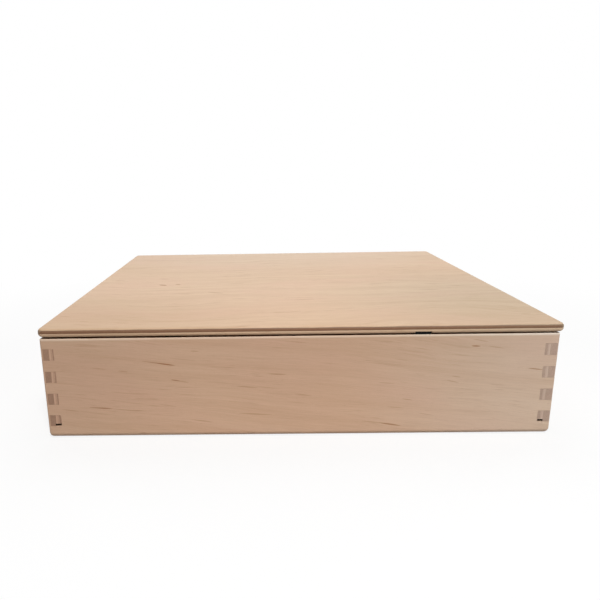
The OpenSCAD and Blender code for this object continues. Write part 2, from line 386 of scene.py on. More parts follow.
def plyAt(tree, board, at):
    # the plies aren't quite flat
    ripple = noise(tree, joined(tree, times(tree, at["along"], plyBuild["rippleScale"]),
                                times(tree, at["across"], plyBuild["rippleScale"]),
                                board["seed"] + plyBuild["rippleSeed"]))
    wobble = fade(tree, at["depth"], *plyBuild["wobbleDepths"], *board.get("wobble", plyBuild["wobble"]))
    plyDepth = calc(tree, "MULTIPLY_ADD", calc(tree, "SUBTRACT", ripple, 0.5), wobble, at["depth"])

    # red says that a ply's grain runs across, green how light it is, blue how dark its end grain is
    total = sum(ply[0] for ply in board["plies"])
    half = plyBuild["glueHalf"] / total
    plyStops, glueStops, reached = [], [(0.0, black)], 0.0
    for thick, way, light, endDark in board["plies"]:
        start = reached / total
        plyStops.append((start, (float(way == "across"), light / 2, endDark, 1)))
        if reached > 0:
            glueStops += [(start - half, black), (start, white), (start + half, black)]
        reached += thick
    share = calc(tree, "DIVIDE", plyDepth, total, clamp=True)
    ply = addNode(tree, "SeparateColor", {0: steps(tree, share, plyStops, "CONSTANT")}).outputs
    return {"turned": ply[0], "light": times(tree, ply[1], 2.0), "endDark": ply[2],
            "glue": steps(tree, share, glueStops)}


def grainAt(tree, board, at, turned):  # place along the grain, across it, and through the board
    swayAlong, swayAcross = plyBuild["swayScale"]
    sway = noise(tree, joined(tree, times(tree, at["along"], swayAlong),
                              times(tree, at["across"], swayAcross), board["seed"]), detail=1.5)
    tilted = calc(tree, "MULTIPLY_ADD", at["along"], board["tilt"], at["across"])
    wandered = calc(tree, "MULTIPLY_ADD", calc(tree, "SUBTRACT", sway, 0.5), board["sway"], tilted)
    plainShift, crossedShift, apart = plyBuild["shifts"]
    plain = joined(tree, calc(tree, "ADD", at["along"], board["seed"] * plainShift), wandered, at["depth"])
    crossed = joined(tree, calc(tree, "ADD", at["across"], board["seed"] * crossedShift),
                     calc(tree, "ADD", at["along"], apart), at["depth"])
    return blendVectors(tree, turned, plain, crossed)


def faceColour(tree, board, grain, fibre, pores):
    # broad bands and clouds of colour
    bands = showing(tree, "bands", pattern(tree, grain, "bands"))
    colour = blendColour(tree, "MIX", bands, birch["pale"], birch["warm"])
    clouds = showing(tree, "clouds", pattern(tree, grain, "clouds"))
    colour = blendColour(tree, "MIX", clouds, colour, birch["rosy"])

    # crisp thin streaks, denser in some patches than in others
    crowd = showing(tree, "crowding", pattern(tree, grain, "crowding"))
    for which in ("longStreaks", "shortStreaks"):
        streaks = showing(tree, which, pattern(tree, grain, which, board["fine"]))
        dark = times(tree, times(tree, streaks, crowd), board["lines"])
        colour = blendColour(tree, "MIX", dark, colour, birch["streak"])

    # short spindle-shaped flecks
    spindles = addNode(tree, "TexVoronoi", {
        "Vector": stretched(tree, grain, "spindles"), "Scale": 1.0},
        voronoi_dimensions="3D", feature="F1").outputs
    chance = addNode(tree, "SeparateColor", {0: spindles["Color"]}).outputs[0]
    fleck = times(tree, showing(tree, "spindles", spindles["Distance"]), fade(tree, chance, *spindleChance))
    dark = times(tree, fleck, board["flecks"])
    colour = blendColour(tree, "MIX", dark, colour, birch["streak"])

    # fibre and pores
    colour = blendColour(tree, "MULTIPLY", 1.0, colour, steps(tree, fibre, birchGrain["fibre"]["tints"]))
    return blendColour(tree, "MIX", times(tree, pores, birch["poreDark"]), colour, birch["streak"])


def endColour(tree, board, grain, endPores):
    colour = blendColour(tree, "MULTIPLY", 1.0, board.get("endGrain", birch["endGrain"]),
                         steps(tree, endPores, birchGrain["endPores"]["tints"]))
    rows = steps(tree, pattern(tree, grain, "endRows"), birchGrain["endRows"]["tints"])
    return blendColour(tree, "MULTIPLY", birch["endRowDark"], colour, rows)


def ownSpot(tree, at, x, y, reachX, reachY, slope=0.0):  # place in a mark or patch, 1 at its reach
    made = addNode(tree, "Mapping", {
        "Vector": joined(tree, at["along"], at["across"], 0.0), "Location": (x, y, 0),
        "Rotation": (0, 0, math.atan(slope)), "Scale": (reachX, reachY, 1)}, vector_type="TEXTURE")
    return made.outputs[0]


def addMarks(tree, board, at, colour):  # long marks, pointed at both ends
    onFace = times(tree, fade(tree, at["depth"], 0.0, spots["depth"], 1.0, 0.0),
                   fade(tree, at["facesOut"], *spots["facing"]))
    for x, y, half, wide, slope, strength in board["marks"]:
        own = parted(tree, ownSpot(tree, at, x, y, half, wide, slope))
        width = calc(tree, "SUBTRACT", spots["ends"], calc(tree, "POWER", own[0], 2.0), clamp=True)
        width = calc(tree, "MAXIMUM", width, spots["least"])
        size = calc(tree, "DIVIDE", calc(tree, "ABSOLUTE", own[1]), width)
        shown = times(tree, fade(tree, size, *spots["edge"], strength, 0.0), onFace)
        colour = blendColour(tree, "MIX", shown, colour, birch["streak"])
    return colour


# painted light and shade: each area multiplies the colour by its tint, fading out from its middle
def addPaintedLight(tree, board, at, colour):
    for x, y, reachX, reachY, tint in board["paintedLight"]:
        away = vectorCalc(tree, "LENGTH", ownSpot(tree, at, x, y, reachX, reachY))
        shown = fade(tree, away, *spots["patchEdge"], 1.0, 0.0)
        colour = blendColour(tree, "MULTIPLY", shown, colour, tint)
    return colour


def paintHighlightAndTopShade(tree, board, at, colour):
    # painted highlight: the outer upper edge is made paler and cooler, and painted shade: the top of a wall
    # is made darker than its face
    upper = fade(tree, at["across"], board["rimFrom"], board["rimFrom"] + plyBuild["rimHigh"])
    outermost = fade(tree, at["depth"], *plyBuild["rimDepths"], 1.0, 0.0)
    colour = blendColour(tree, "MULTIPLY", times(tree, upper, outermost), colour, birch["rim"])
    topShade = times(tree, fade(tree, at["endAcross"], *plyBuild["topShadeFacing"]),
                 fade(tree, at["depth"], *plyBuild["topShadeDepths"]))
    return blendColour(tree, "MULTIPLY", topShade, colour, birch["topShade"])


def insideGroove(tree, board, at):
    start, low, high = board["groove"]
    level = times(tree, calc(tree, "GREATER_THAN", at["across"], low),
                  calc(tree, "LESS_THAN", at["across"], high))
    return times(tree, calc(tree, "GREATER_THAN", at["depth"], start), level)


def heldInGroove(tree, board, at):  # the part of the bottom that lies in the grooves
    beyond = []
    for way, (middle, reach) in board["held"].items():
        away = calc(tree, "ABSOLUTE", calc(tree, "SUBTRACT", at[way], middle))
        beyond.append(calc(tree, "GREATER_THAN", away, reach))
    return calc(tree, "MAXIMUM", *beyond)


def plywood(name, board):
    material, tree = startMaterial(name)
    at = placeOnBoard(tree, board)
    ply = plyAt(tree, board, at)
    grain = grainAt(tree, board, at, ply["turned"])
    fibre = pattern(tree, grain, "fibre")
    pores = showing(tree, "pores", pattern(tree, grain, "pores"))
    endPores = pattern(tree, grain, "endPores")
    colour = faceColour(tree, board, grain, fibre, pores)
    if "marks" in board:
        colour = addMarks(tree, board, at, colour)

    # end grain is darker, and glue lines show on the edges
    endOn = blendValues(tree, ply["turned"], at["endAlong"], at["endAcross"])
    ended = times(tree, fade(tree, endOn, *plyBuild["endFacing"]), ply["endDark"])
    colour = blendColour(tree, "MIX", ended, colour, endColour(tree, board, grain, endPores))
    light = joined(tree, ply["light"], ply["light"], ply["light"])
    colour = blendColour(tree, "MULTIPLY", 1.0, colour, light)
    onEdge = fade(tree, at["facesOut"], *plyBuild["glueFacing"], plyBuild["glueShare"], 0.0)
    glue = times(tree, ply["glue"], onEdge)
    colour = blendColour(tree, "MIX", glue, colour, birch["glue"])

    # this board's own colour, broad areas of painted light and shade, and the painted highlight and painted
    # shade at the top of a wall
    colour = blendColour(tree, "MULTIPLY", 1.0, colour, board["tint"])
    if "paintedLight" in board:
        colour = addPaintedLight(tree, board, at, colour)
    if "rimFrom" in board:
        colour = paintHighlightAndTopShade(tree, board, at, colour)

    # no light reaches the inside of the grooves
    gloss = birch["gloss"]
    if "groove" in board:
        inside = insideGroove(tree, board, at)
        colour = blendColour(tree, "MIX", inside, colour, birch["hidden"])
        gloss = calc(tree, "MULTIPLY_ADD", inside, -gloss, gloss)
    if "held" in board:
        colour = blendColour(tree, "MIX", heldInGroove(tree, board, at), colour, birch["hidden"])

    # relief of fibre, pores and glue lines
    reliefOf = birch["reliefOf"]
    height = times(tree, fibre, reliefOf["fibre"])
    height = calc(tree, "MULTIPLY_ADD", pores, reliefOf["pores"], height)
    height = calc(tree, "MULTIPLY_ADD", times(tree, endPores, ended), reliefOf["endPores"], height)
    height = calc(tree, "MULTIPLY_ADD", glue, reliefOf["glue"], height)
    roughness = fade(tree, fibre, *noiseSpan, *birch["roughness"])
    finishSurface(tree, colour, roughness, height, birch["relief"], gloss=gloss)
    return material


# walls: sizes of the boards with fingers at both ends and a groove for the bottom

walls = {
    "thick": frontHigh.y - frontLow.y,
    "fingerHigh": 8.05,
    "fingerLift": 0.8,     # how far the row of fingers sits above the middle
    "lowerEdge": 3.5,      # radii of the rounded outer edges
    "uprightEdge": 1.2,
    "rimEdge": 0.5,
    "edgeSegments": 6,
    "innerSegments": 4,
    "grooveLow": 6.4,
    "grooveHigh": 10.4,
    "grooveDeep": 3.8,
    "grooveShade": 0.1,    # how far outside a groove its dark begins
    "joint": 0.04,         # room between a finger and its notch
    "looseJoint": 0.30,    # beside the lowest left finger of the front
    "softEdge": 0.10,      # what sandpaper takes off a cut edge
    "highlightBandHigh": 1.8,      # height of the painted highlight along the top of the outer face
}

# (thickness in mm, way of the grain, lightness, darkness of its end grain), from the face inwards
wallPlies = [(1.6, "along", 1.0, 0.35), (4.05, "along", 0.80, 1.0), (1.4, "across", 0.88, 0.0),
             (1.2, "along", 1.0, 0.75), (0.25, "along", 0.70, 1.0), (0.5, "along", 0.96, 1.0)]
rightPlies = [(0.9, "along", 1.0, 0.3), (4.3, "along", 1.0, 0.9), (1.4, "across", 0.86, 0.0),
              (0.7, "along", 1.0, 0.5), (1.7, "along", 0.96, 0.9)]
lidPlies = [(1.05, "along", 1.0, 0.3), (2.30, "across", 0.58, 1.0), (2.25, "along", 1.22, 0.3),
            (0.40, "along", 1.0, 0.3)]
thinPlies = [(1.0, "along", 1.0, 1.0), (1.8, "across", 1.0, 1.0), (1.0, "along", 1.0, 1.0)]

# (place along the board, place across it, half length, half width, slope, darkness)
frontMarks = [
    (-95.1, 54.4, 12.0, 0.55, -0.15, 0.44), (-89.8, 53.5, 6.5, 0.60, -0.145, 0.72),
    (-83.9, 41.9, 3.4, 0.50, -0.17, 0.65), (-78.3, 40.8, 4.0, 0.45, -0.17, 0.31),
    (-136.6, 22.0, 9.0, 0.55, -0.07, 0.55), (-134.0, 21.8, 4.5, 0.45, -0.07, 0.39),
    (-119.9, 20.4, 9.5, 0.45, -0.11, 0.26), (-136.1, 50.9, 6.0, 0.50, -0.11, 0.23),
    (-119.5, 48.8, 4.0, 0.50, -0.10, 0.31), (-78.6, 57.0, 10.0, 0.45, -0.11, 0.23),
    (-158.3, 20.5, 6.0, 0.50, -0.14, 0.29), (-66.6, 11.7, 8.0, 0.50, -0.14, 0.31),
    (-69.8, 62.7, 3.0, 0.45, -0.07, 0.34), (-113.2, 25.3, 7.5, 0.40, -0.11, 0.18),
    (-89.7, 23.4, 6.5, 0.45, -0.16, 0.23), (-107.5, 2.6, 4.0, 0.70, -0.10, 0.31),
    (-34.8, 36.6, 8.0, 0.50, -0.10, 0.39), (-13.8, 45.6, 6.5, 0.50, -0.05, 0.42),
    (-29.0, 16.4, 12.0, 0.50, -0.06, 0.39), (3.6, 30.4, 6.5, 0.45, -0.15, 0.34),
    (64.5, 7.8, 8.0, 0.65, -0.165, 0.68), (52.0, 9.6, 8.0, 0.50, -0.12, 0.29),
    (89.0, 15.0, 6.0, 0.45, -0.17, 0.26), (67.7, 20.3, 6.0, 0.45, -0.10, 0.26),
    (60.8, 38.3, 5.5, 0.45, -0.09, 0.26), (75.8, 26.1, 4.0, 0.45, -0.15, 0.34),
    (105.9, 38.9, 4.5, 0.45, -0.22, 0.31), (108.1, 42.4, 3.5, 0.45, -0.18, 0.31),
    (119.6, 64.0, 3.2, 0.60, -0.05, 0.78), (133.5, 63.0, 6.0, 0.45, -0.15, 0.29),
    (122.9, 67.8, 6.0, 0.45, -0.20, 0.29), (160.9, 47.3, 5.5, 0.50, -0.13, 0.65),
]
lidMarks = [
    (-113.5, -24.4, 4.6, 2.1, -0.55, 0.85), (-99.9, -22.3, 3.0, 1.9, -0.50, 0.63),
    (-117.0, 7.3, 5.5, 1.8, -0.20, 0.34), (-62.9, -62.0, 8.0, 1.8, -0.40, 0.37),
    (-147.0, -64.2, 6.0, 1.0, -0.30, 0.21), (-37.5, 25.3, 5.0, 1.4, -0.30, 0.16),
    (-148.4, -158.0, 4.0, 0.8, -0.20, 0.34), (-121.1, -162.6, 6.0, 0.8, -0.15, 0.34),
    (-167.2, -141.7, 4.5, 0.9, -0.20, 0.28), (162.4, -148.3, 4.0, 0.9, 0.0, 0.40),
]

# painted light and shade in broad areas: (middle along the board, middle across it, reach both ways, tint);
# on the front, darker at the left and towards the top, paler and cooler at the right
frontLightAndShade = [
    (-180.0, 40.0, 130.0, 160.0, (0.90, 0.91, 0.91, 1)),
    (175.0, 36.0, 160.0, 220.0, (1.00, 1.14, 1.26, 1)),
    (0.0, 82.0, 500.0, 80.0, (0.88, 0.88, 0.88, 1)),
]
# painted light on the right wall: paler and cooler near its front end
rightLightAndShade = [(frontY, 36.0, 14.0, 400.0, (1.00, 1.155, 1.34, 1))]
# painted light and shade on the lid: darker at the front corners and along the front, paler and cooler at the
# back as a painted sheen
lidLightAndShade = [
    (-165.0, -150.0, 170.0, 130.0, (0.89, 0.88, 0.86, 1)),
    (170.0, -110.0, 170.0, 200.0, (0.84, 0.89, 0.90, 1)),
    (0.0, 180.0, 320.0, 170.0, (1.03, 1.09, 1.17, 1)),
    (0.0, -185.0, 600.0, 150.0, (0.965, 0.93, 0.895, 1)),
]

# tilt and sway say how the grain runs, lines and flecks how dark its streaks and flecks are, and
# fine how thin the streaks are
shade = walls["grooveShade"]
darkEdge = walls["thick"] - shade  # the bottom is dark this near to the walls' outer faces
middleY, halfDeep = (frontY + backY) / 2, (backY - frontY) / 2
wallBoard = {
    "across": "z", "plies": wallPlies, "lines": 0.36, "fine": 1.0, "flecks": 0.16,
    "rimFrom": wallHigh - walls["highlightBandHigh"],
    "groove": (walls["thick"] - walls["grooveDeep"] - shade,
               walls["grooveLow"] - shade, walls["grooveHigh"] + shade),
}
wood = {
    "front": plywood("birchFront", {
        **wallBoard, "along": "x", "through": "y", "face": frontY, "inward": 1,
        "seed": 3.0, "tilt": 0.10, "sway": 16.0, "lines": 0.28, "tint": (1.01, 0.890, 0.830, 1),
        "marks": frontMarks, "paintedLight": frontLightAndShade}),
    "back": plywood("birchBack", {
        **wallBoard, "along": "x", "through": "y", "face": backY, "inward": -1,
        "seed": 5.0, "tilt": -0.05, "sway": 14.0, "tint": (1.01, 0.890, 0.830, 1)}),
    "left": plywood("birchLeft", {
        **wallBoard, "along": "y", "through": "x", "face": leftX, "inward": 1,
        "seed": 7.0, "tilt": 0.04, "sway": 12.0, "tint": (0.99, 0.87, 0.83, 1)}),
    "right": plywood("birchRight", {
        **wallBoard, "along": "y", "through": "x", "face": rightX, "inward": -1, "plies": rightPlies,
        "seed": 11.0, "tilt": -0.06, "sway": 18.0, "tint": (1.01, 0.90, 0.85, 1), "paintedLight": rightLightAndShade}),
    "bottom": plywood("birchBottom", {
        "along": "x", "across": "y", "through": "z", "face": bottomHigh.z, "inward": -1, "plies": thinPlies,
        "seed": 17.0, "tilt": 0.02, "sway": 40.0, "lines": 0.30, "fine": 0.6, "flecks": 0.22,
        "tint": (0.96, 0.92, 0.88, 1),
        "held": {"along": (0.0, rightX - darkEdge), "across": (middleY, halfDeep - darkEdge)}}),
    "lid": plywood("birchLid", {
        "along": "x", "across": "y", "through": "z", "face": lidHigh.z, "inward": -1, "plies": lidPlies,
        "seed": 23.0, "tilt": -0.03, "sway": 60.0, "lines": 0.36, "fine": 0.58, "flecks": 0.11,
        "tint": (0.98, 0.963, 0.92, 1), "wobble": (1.0, 0.25), "endGrain": (0.465, 0.250, 0.150, 1),
        "marks": lidMarks, "paintedLight": lidLightAndShade}),
}
print("plywood ready:", ", ".join(wood))


# walls: the boards themselves

innerFingers = 2 * round((wallHigh / walls["fingerHigh"] - 3) / 2) + 1
lowFinger = (wallHigh - innerFingers * walls["fingerHigh"]) / 2 + walls["fingerLift"]
levels = [0.0] + [lowFinger + k * walls["fingerHigh"] for k in range(innerFingers + 1)] + [wallHigh]


def notchCutters(first, ends):  # ends holds (low x, high x, low y, high y) of each end's notches
    cutters = []
    for k in range(first, innerFingers + 2, 2):
        low = -past if k == 0 else levels[k] - walls["joint"]
        high = wallHigh + past if k == innerFingers + 1 else levels[k + 1] + walls["joint"]
        for x0, x1, y0, y1 in ends:
            cutters.append(addBlock("notch", (x0, y0, low), (x1, y1, high)))
    return cutters


def endWall(name, outerY, innerY):
    thick, joint = walls["thick"], walls["joint"]
    y0, y1 = sorted((outerY, innerY))
    piece = addBlock(name, (leftX, y0, 0), (rightX, y1, wallHigh))
    roundTogether(piece, [
        (lambda a, b: bothAt(a, b, "z", 0) and bothAt(a, b, "y", outerY), walls["lowerEdge"]),
        (lambda a, b: bothAt(a, b, "z", 0) and near(a.x, b.x), walls["lowerEdge"]),
        (lambda a, b: near(a.x, b.x) and bothAt(a, b, "y", outerY), walls["uprightEdge"]),
        (lambda a, b: bothAt(a, b, "z", wallHigh) and bothAt(a, b, "y", outerY), walls["rimEdge"]),
        (lambda a, b: bothAt(a, b, "z", wallHigh) and near(a.x, b.x), walls["rimEdge"]),
    ], walls["edgeSegments"])
    for x in (leftX + thick, rightX - thick):
        sliceAt(piece, (x, 0, 0), (1, 0, 0))
    free = rightX - thick + tolerance  # between the fingers
    roundEdges(piece, lambda a, b: bothAt(a, b, "z", wallHigh) and bothAt(a, b, "y", innerY)
               and max(abs(a.x), abs(b.x)) < free, walls["rimEdge"], walls["innerSegments"])
    cut(piece, notchCutters(1, [
        (leftX - past, leftX + thick + joint, y0 - past, y1 + past),
        (rightX - thick - joint, rightX + past, y0 - past, y1 + past)]))
    inward = math.copysign(1, innerY - outerY)
    grooveY = sorted((innerY - inward * walls["grooveDeep"], innerY + inward * past))
    cut(piece, [addBlock("groove", (leftX - past, grooveY[0], walls["grooveLow"]),
                         (rightX + past, grooveY[1], walls["grooveHigh"]))])
    return piece


def sideWall(name, outerX, innerX):
    thick, joint = walls["thick"], walls["joint"]
    x0, x1 = sorted((outerX, innerX))
    piece = addBlock(name, (x0, frontY, 0), (x1, backY, wallHigh))
    roundTogether(piece, [
        (lambda a, b: bothAt(a, b, "z", 0) and bothAt(a, b, "x", outerX), walls["lowerEdge"]),
        (lambda a, b: near(a.y, b.y) and bothAt(a, b, "x", outerX), walls["uprightEdge"]),
        (lambda a, b: bothAt(a, b, "z", wallHigh) and near(a.x, b.x), walls["rimEdge"]),
    ], walls["edgeSegments"])
    cut(piece, notchCutters(0, [
        (x0 - past, x1 + past, frontY - past, frontY + thick + joint),
        (x0 - past, x1 + past, backY - thick - joint, backY + past)]))
    inward = math.copysign(1, innerX - outerX)
    grooveX = sorted((innerX - inward * walls["grooveDeep"], innerX + inward * past))
    cut(piece, [addBlock("groove", (grooveX[0], frontY - past, walls["grooveLow"]),
                         (grooveX[1], backY + past, walls["grooveHigh"]))])
    return piece


def finishWall(piece, node, look):
    soften(piece, walls["softEdge"])
    complete(piece, "box", [node], look)


frontBoard = endWall("front_board", frontY, frontY + walls["thick"])
looseX = leftX + walls["thick"] + walls["looseJoint"]
looseNotch = addBlock("looseNotch", (leftX - past, frontY - past, levels[1] - walls["joint"]),
                      (looseX, frontY + walls["thick"] + past, levels[2] + walls["joint"]))
cut(frontBoard, [looseNotch])
finishWall(frontBoard, "front_wall", wood["front"])
finishWall(sideWall("left_board", leftX, leftX + walls["thick"]), "left_wall", wood["left"])
finishWall(sideWall("right_board", rightX, rightX - walls["thick"]), "right_wall", wood["right"])


# hinges: two rolled leaves on a pin, let into the back wall and the lid

hinge = {
    "leafThick": 0.8,
    "recess": 0.25,        # how deep a leaf lies in the wood
    "seat": 8.0,           # width of the leaf on the wood
    "barrel": 1.65,        # radii
    "bore": 0.85,
    "knuckles": 5,
    "play": 0.2,           # between two knuckles
    "room": 0.3,           # round the other leaf's knuckles
    "seam": 0.12,          # slot where the rolled sheet ends
    "seamFrom": 0.2,       # how far outside the barrel the slot's cutter starts
    "seamTo": 0.15,        # and how far inside the bore it ends
    "corner": 0.8,
    "cornerSegments": 5,
    "screws": 3,
    "screwEnd": 6.0,
    "softEdge": 0.07,
    "pinEdge": 0.18,
    "pinSegments": 3,
    "pinSides": 32,
}
screw = {
    "headRadius": 1.85,
    "shankRadius": 1.0,
    "tipRadius": 0.25,
    "headHigh": 0.75,
    "sink": 0.05,
    "sinkPast": 0.1,       # how far a countersink's cutter runs past the leaf
    "boxLength": 12.0,
    "lidLength": 5.05,
    "recessLong": 2.2,
    "recessWide": 0.45,
    "recessDeep": 0.5,
    "room": 0.05,
    "shankInHead": 0.05,   # overlaps, so that head, shank and tip join
    "tipInShank": 0.001,
    "sides": 32,
    "holeSides": 24,
    "sinkSides": 40,
    "softEdge": 0.04,
}
boxLeafLow = wallHigh - hinge["recess"]
lidLeafLow = lidLow.z + hinge["recess"] - hinge["leafThick"]
leafFront = backY - hinge["seat"]
screwY = backY - hinge["seat"] / 2


def hingeSpan(side):
    low, high = boxOf(side + "_hinge_pin")
    return low.x, high.x


def screwPlaces(side):
    x0, x1 = hingeSpan(side)
    pitch = (x1 - x0 - 2 * hinge["screwEnd"]) / (hinge["screws"] - 1)
    return [x0 + hinge["screwEnd"] + k * pitch for k in range(hinge["screws"])]


def hingeSeat(side, mortiseLow, mortiseHigh, pilotLow, pilotHigh):  # cutters of a leaf and its screws
    x0, x1 = hingeSpan(side)
    cutters = [addBlock("mortise", (x0, leafFront, mortiseLow), (x1, backY + past, mortiseHigh))]
    for x in screwPlaces(side):
        cutters.append(addRod("pilot", (x, screwY, pilotLow), (x, screwY, pilotHigh),
                              screw["shankRadius"] + screw["room"], sides=screw["holeSides"]))
    return cutters


backBoard = endWall("back_board", backY, backY - walls["thick"])
for side in ("left", "right"):
    pilotLow = boxLeafLow + hinge["leafThick"] - screw["boxLength"]
    cut(backBoard, hingeSeat(side, boxLeafLow, wallHigh + past, pilotLow, wallHigh + past))
finishWall(backBoard, "back_wall", wood["back"])
print("walls done")


# bottom: thin plywood, held in the grooves

bottom = {"edge": 0.3, "edgeSegments": 2}
bottomBoard = addBlock("bottom_board", bottomLow, bottomHigh)
soften(bottomBoard, bottom["edge"], bottom["edgeSegments"])
complete(bottomBoard, "box", ["bottom_panel"], wood["bottom"])


# lid: round corners, rounded edges, and a little lower at its right front corner

lid = {
    "corner": 4.5,
    "cornerSegments": 14,
    "topEdge": 2.5,
    "topSegments": 7,
    "underEdge": 2.5,
    "underSegments": 5,
    "grid": 32.0,          # spacing of the cuts that let the board twist
    "drop": 0.30,          # how much the right front corner hangs down
    "softEdge": 0.10,
}
bumper = {
    "recess": 1.3,         # how deep its pocket in the lid is
    "play": 0.1,           # round the pad in its pocket
    "edge": 0.35,
    "edgeSegments": 3,
}


def lidDrop(x, y):
    across = min(max((x - lidLow.x) / (lidHigh.x - lidLow.x), 0), 1)
    forward = min(max((lidHigh.y - y) / (lidHigh.y - lidLow.y), 0), 1)
    return lid["drop"] * across * across * forward


def bumperPocket(side):  # the right one runs out at the lid's front
    low, high = boxOf(side + "_bumper")
    start = lidLow.y - past if side == "right" else low.y - bumper["play"]
    return addBlock("pocket", (low.x - bumper["play"], start, lidLow.z - past),
                    (high.x + bumper["play"], high.y + bumper["play"], lidLow.z + bumper["recess"]))


lidBoard = addBlock("lid_board", lidLow, lidHigh)
roundEdges(lidBoard, lambda a, b: near(a.x, b.x) and near(a.y, b.y), lid["corner"], lid["cornerSegments"])
roundEdges(lidBoard, lambda a, b: bothAt(a, b, "z", lidHigh.z), lid["topEdge"], lid["topSegments"])
roundEdges(lidBoard, lambda a, b: bothAt(a, b, "z", lidLow.z), lid["underEdge"], lid["underSegments"])
lidCutters = []
for side in ("left", "right"):
    lidCutters += hingeSeat(side, lidLow.z - past, lidLow.z + hinge["recess"],
                            lidLow.z - past, lidLeafLow + screw["lidLength"])
    lidCutters.append(bumperPocket(side))
cut(lidBoard, lidCutters)
soften(lidBoard, lid["softEdge"])
cutCount = int((lidHigh.x - lidLow.x) / lid["grid"])
for k in range(1, cutCount + 1):
    sliceAt(lidBoard, (lidLow.x + k * (lidHigh.x - lidLow.x) / (cutCount + 1), 0, 0), (1, 0, 0))
    sliceAt(lidBoard, (0, lidLow.y + k * (lidHigh.y - lidLow.y) / (cutCount + 1), 0), (0, 1, 0))
for point in lidBoard.data.vertices:
    point.co.z -= lidDrop(point.co.x, point.co.y)
complete(lidBoard, "lid", ["lid_panel"], wood["lid"])
print("lid done")


# metal of the hinges and the screws, and the rubber of the bumpers

plating = {
    "stainScale": 0.35,    # per mm
    "stains": [(0.35, (0.86, 0.86, 0.87, 1)), (0.65, (1.0, 1.0, 1.0, 1))],
    "roughnessMore": (-0.05, 0.10),  # from the bright lines to the dull ones
    "relief": (0.25, 0.00004),
}
rubberLook = {
    "speckScale": 5.0,     # per mm
    "dustScale": 0.9,
    "dust": [(0.4, (0.010, 0.010, 0.010, 1)), (0.75, (0.030, 0.028, 0.026, 1))],
    "roughness": (0.75, 0.90),
    "gloss": 0.2,
    "relief": (0.3, 0.00006),
}


def plated(name, tint, brushed, roughness):  # brushed is how fine the lines are, per mm along x, y and z
    material, tree = startMaterial(name)
    spot = inMillimetres(tree)
    lines = noise(tree, vectorCalc(tree, "MULTIPLY", spot, brushed), detail=4, roughness=0.6)
    stain = noise(tree, vectorCalc(tree, "MULTIPLY", spot, (plating["stainScale"],) * 3), detail=3)
    colour = blendColour(tree, "MULTIPLY", 1.0, tint, steps(tree, stain, plating["stains"]))
    rough = fade(tree, lines, *noiseSpan, *(roughness + more for more in plating["roughnessMore"]))
    finishSurface(tree, colour, rough, lines, plating["relief"], metallic=1.0)
    return material


def blackRubber(name):
    material, tree = startMaterial(name)
    spot = inMillimetres(tree)
    specks = noise(tree, vectorCalc(tree, "MULTIPLY", spot, (rubberLook["speckScale"],) * 3), detail=3)
    dust = noise(tree, vectorCalc(tree, "MULTIPLY", spot, (rubberLook["dustScale"],) * 3))
    rough = fade(tree, specks, *noiseSpan, *rubberLook["roughness"])
    finishSurface(tree, steps(tree, dust, rubberLook["dust"]), rough, specks, rubberLook["relief"],
                  gloss=rubberLook["gloss"])
    return material


leafMetal = plated("hingeMetal", (0.50, 0.49, 0.47, 1), (0.25, 9.0, 9.0), 0.38)
pinMetal = plated("pinMetal", (0.46, 0.45, 0.44, 1), (9.0, 0.6, 0.6), 0.30)
screwMetal = plated("screwMetal", (0.55, 0.54, 0.51, 1), (3.0, 3.0, 3.0), 0.34)
rubber = blackRubber("bumperRubber")


def knuckleCutters(x0, x1, first):  # what makes room for the other leaf's knuckles
    pitch = (x1 - x0) / hinge["knuckles"]
    reach = hinge["barrel"] + hinge["room"]
    cutters = []
    for k in range(1 - first, hinge["knuckles"], 2):
        before = past if k == 0 else hinge["play"] / 2
        after = past if k == hinge["knuckles"] - 1 else hinge["play"] / 2
        cutters.append(addBlock("gap", (x0 + k * pitch - before, pinY - reach, pinZ - reach),
                                (x0 + (k + 1) * pitch + after, pinY + reach, pinZ + reach)))
    return cutters


def sinkCutters(side, low, first):  # countersinks open on the side that faces the other leaf
    wide = screw["headRadius"] + 2 * screw["room"]
    narrow = screw["shankRadius"] + 2 * screw["room"]
    slope = (wide - narrow) / hinge["leafThick"]
    extra = screw["sinkPast"]
    faces = (low, low + hinge["leafThick"])
    narrowZ, wideZ = faces if first == 0 else reversed(faces)
    way = math.copysign(1, wideZ - narrowZ)
    return [addRod("sink", (x, screwY, narrowZ - way * extra), (x, screwY, wideZ + way * extra),
                   narrow - slope * extra, wide + slope * extra, sides=screw["sinkSides"])
            for x in screwPlaces(side)]


def hingeLeaf(name, side, low, first):  # first is 0 for the leaf with the end knuckles
    x0, x1 = hingeSpan(side)
    thick, barrel = hinge["leafThick"], hinge["barrel"]
    pitch = (x1 - x0) / hinge["knuckles"]
    piece = addBlock(name, (x0, leafFront, low), (x1, pinY, low + thick))
    roundEdges(piece, lambda a, b: near(a.x, b.x) and bothAt(a, b, "y", leafFront),
               hinge["corner"], hinge["cornerSegments"])
    starts = [x0 + k * pitch for k in range(first, hinge["knuckles"], 2)]
    combine(piece, [addRod("knuckle", (start, pinY, pinZ), (start + pitch, pinY, pinZ), barrel)
                    for start in starts], "UNION")
    cutters = knuckleCutters(x0, x1, first)
    cutters.append(addRod("bore", (x0 - past, pinY, pinZ), (x1 + past, pinY, pinZ), hinge["bore"]))
    seamLow = low + thick if first == 0 else low - hinge["seam"]
    cutters.append(addBlock("seam", (x0 - past, pinY - barrel - hinge["seamFrom"], seamLow),
                            (x1 + past, pinY - hinge["bore"] + hinge["seamTo"], seamLow + hinge["seam"])))
    cut(piece, cutters + sinkCutters(side, low, first))
    soften(piece, hinge["softEdge"])
    return piece


